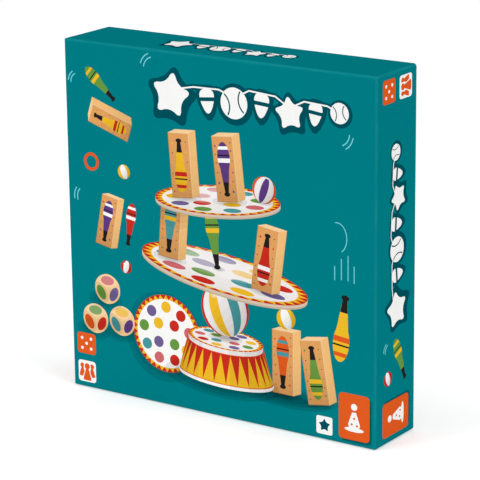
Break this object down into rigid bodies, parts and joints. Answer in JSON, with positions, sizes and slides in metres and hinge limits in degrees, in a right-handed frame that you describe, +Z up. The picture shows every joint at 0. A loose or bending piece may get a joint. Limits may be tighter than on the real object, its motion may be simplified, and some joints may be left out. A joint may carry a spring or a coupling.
{
  "type": "acrobat balancing game",
  "caption": "Square two-piece card box on its edge, holding a folded insert, round game boards, wooden balancing blocks, colour dice and a rule booklet that all lift out.",
  "frame": {"origin": "on the surface the box stands on, under the middle of its width and its depth", "axes": "+Z up, +X to the right seen from the front, +Y from the front (the lid's printed face) to the back"},
  "size_m": [0.27, 0.054, 0.27],
  "materials": {
    "printed_wrap": "satin-varnished printed paper, teal",
    "greyboard": "raw greyboard",
    "kraft_tape": "gummed brown paper",
    "white_card": "matt white folding card",
    "printed_sheet": "satin printed sheet",
    "page_paper": "uncoated paper",
    "staple_wire": "galvanised wire",
    "block_wood": "sanded beech, clear matt",
    "die_wood": "sanded beech, clear matt"
  },
  "bodies": {
    "base": {"base_wrap": "printed_wrap", "base_board": "greyboard", "base_corner_stays": "kraft_tape"},
    "insert": {"insert_tray": "white_card"},
    "block_01": {"block_01": "block_wood"},
    "block_02": {"block_02": "block_wood"},
    "block_03": {"block_03": "block_wood"},
    "block_04": {"block_04": "block_wood"},
    "block_05": {"block_05": "block_wood"},
    "block_06": {"block_06": "block_wood"},
    "block_07": {"block_07": "block_wood"},
    "block_08": {"block_08": "block_wood"},
    "block_09": {"block_09": "block_wood"},
    "block_10": {"block_10": "block_wood"},
    "block_11": {"block_11": "block_wood"},
    "block_12": {"block_12": "block_wood"},
    "block_13": {"block_13": "block_wood"},
    "block_14": {"block_14": "block_wood"},
    "block_15": {"block_15": "block_wood"},
    "block_16": {"block_16": "block_wood"},
    "block_17": {"block_17": "block_wood"},
    "block_18": {"block_18": "block_wood"},
    "die_1": {"die_1": "die_wood"},
    "die_2": {"die_2": "die_wood"},
    "die_3": {"die_3": "die_wood"},
    "board_3": {"board_3_face": "printed_sheet", "board_3_core": "greyboard", "board_3_back": "printed_sheet"},
    "board_2": {"board_2_face": "printed_sheet", "board_2_core": "greyboard", "board_2_back": "printed_sheet"},
    "board_1": {"board_1_face": "printed_sheet", "board_1_core": "greyboard", "board_1_back": "printed_sheet"},
    "rules": {"rules_cover": "printed_sheet", "rules_pages": "page_paper", "rules_staples": "staple_wire"},
    "lid": {"lid_wrap": "printed_wrap", "lid_board": "greyboard", "lid_corner_stays": "kraft_tape"}
  },
  "joints": [
    {"name": "insert_lift", "type": "slide", "parent": "base", "child": "insert", "axis": [0, -1, 0], "range_m": [0, 0.06]},
    {"name": "pieces_lift", "type": "slide", "parent": "insert", "child": "block_01", "axis": [0, -1, 0], "range_m": [0, 0.11]},
    {"name": "block_02_lift", "type": "slide", "parent": "insert", "child": "block_02", "axis": [0, -1, 0], "range_m": [0, 0.11]},
    {"name": "block_03_lift", "type": "slide", "parent": "insert", "child": "block_03", "axis": [0, -1, 0], "range_m": [0, 0.11]},
    {"name": "block_04_lift", "type": "slide", "parent": "insert", "child": "block_04", "axis": [0, -1, 0], "range_m": [0, 0.11]},
    {"name": "block_05_lift", "type": "slide", "parent": "insert", "child": "block_05", "axis": [0, -1, 0], "range_m": [0, 0.11]},
    {"name": "block_06_lift", "type": "slide", "parent": "insert", "child": "block_06", "axis": [0, -1, 0], "range_m": [0, 0.11]},
    {"name": "block_07_lift", "type": "slide", "parent": "insert", "child": "block_07", "axis": [0, -1, 0], "range_m": [0, 0.11]},
    {"name": "block_08_lift", "type": "slide", "parent": "insert", "child": "block_08", "axis": [0, -1, 0], "range_m": [0, 0.11]},
    {"name": "block_09_lift", "type": "slide", "parent": "insert", "child": "block_09", "axis": [0, -1, 0], "range_m": [0, 0.11]},
    {"name": "block_10_lift", "type": "slide", "parent": "insert", "child": "block_10", "axis": [0, -1, 0], "range_m": [0, 0.0605]},
    {"name": "block_11_lift", "type": "slide", "parent": "insert", "child": "block_11", "axis": [0, -1, 0], "range_m": [0, 0.0605]},
    {"name": "block_12_lift", "type": "slide", "parent": "insert", "child": "block_12", "axis": [0, -1, 0], "range_m": [0, 0.0605]},
    {"name": "block_13_lift", "type": "slide", "parent": "insert", "child": "block_13", "axis": [0, -1, 0], "range_m": [0, 0.0605]},
    {"name": "block_14_lift", "type": "slide", "parent": "insert", "child": "block_14", "axis": [0, -1, 0], "range_m": [0, 0.0605]},
    {"name": "block_15_lift", "type": "slide", "parent": "insert", "child": "block_15", "axis": [0, -1, 0], "range_m": [0, 0.0605]},
    {"name": "block_16_lift", "type": "slide", "parent": "insert", "child": "block_16", "axis": [0, -1, 0], "range_m": [0, 0.0605]},
    {"name": "block_17_lift", "type": "slide", "parent": "insert", "child": "block_17", "axis": [0, -1, 0], "range_m": [0, 0.0605]},
    {"name": "block_18_lift", "type": "slide", "parent": "insert", "child": "block_18", "axis": [0, -1, 0], "range_m": [0, 0.0605]},
    {"name": "die_1_lift", "type": "slide", "parent": "insert", "child": "die_1", "axis": [0, -1, 0], "range_m": [0, 0.11]},
    {"name": "die_2_lift", "type": "slide", "parent": "insert", "child": "die_2", "axis": [0, -1, 0], "range_m": [0, 0.11]},
    {"name": "die_3_lift", "type": "slide", "parent": "insert", "child": "die_3", "axis": [0, -1, 0], "range_m": [0, 0.11]},
    {"name": "board_3_lift", "type": "slide", "parent": "block_01", "child": "board_3", "axis": [0, -1, 0], "range_m": [0, 0.04]},
    {"name": "board_2_lift", "type": "slide", "parent": "board_3", "child": "board_2", "axis": [0, -1, 0], "range_m": [0, 0.04]},
    {"name": "board_1_lift", "type": "slide", "parent": "board_2", "child": "board_1", "axis": [0, -1, 0], "range_m": [0, 0.04]},
    {"name": "rules_lift", "type": "slide", "parent": "board_1", "child": "rules", "axis": [0, -1, 0], "range_m": [0, 0.04]},
    {"name": "lid_lift", "type": "slide", "parent": "rules", "child": "lid", "axis": [0, -1, 0], "range_m": [0, 0.09]}
  ],
  "couplings": [
    {"joint": "block_02_lift", "follows": "pieces_lift", "ratio": 1},
    {"joint": "block_03_lift", "follows": "pieces_lift", "ratio": 1},
    {"joint": "block_04_lift", "follows": "pieces_lift", "ratio": 1},
    {"joint": "block_05_lift", "follows": "pieces_lift", "ratio": 1},
    {"joint": "block_06_lift", "follows": "pieces_lift", "ratio": 1},
    {"joint": "block_07_lift", "follows": "pieces_lift", "ratio": 1},
    {"joint": "block_08_lift", "follows": "pieces_lift", "ratio": 1},
    {"joint": "block_09_lift", "follows": "pieces_lift", "ratio": 1},
    {"joint": "block_10_lift", "follows": "pieces_lift", "ratio": 0.55},
    {"joint": "block_11_lift", "follows": "pieces_lift", "ratio": 0.55},
    {"joint": "block_12_lift", "follows": "pieces_lift", "ratio": 0.55},
    {"joint": "block_13_lift", "follows": "pieces_lift", "ratio": 0.55},
    {"joint": "block_14_lift", "follows": "pieces_lift", "ratio": 0.55},
    {"joint": "block_15_lift", "follows": "pieces_lift", "ratio": 0.55},
    {"joint": "block_16_lift", "follows": "pieces_lift", "ratio": 0.55},
    {"joint": "block_17_lift", "follows": "pieces_lift", "ratio": 0.55},
    {"joint": "block_18_lift", "follows": "pieces_lift", "ratio": 0.55},
    {"joint": "die_1_lift", "follows": "pieces_lift", "ratio": 1},
    {"joint": "die_2_lift", "follows": "pieces_lift", "ratio": 1},
    {"joint": "die_3_lift", "follows": "pieces_lift", "ratio": 1}
  ]
}
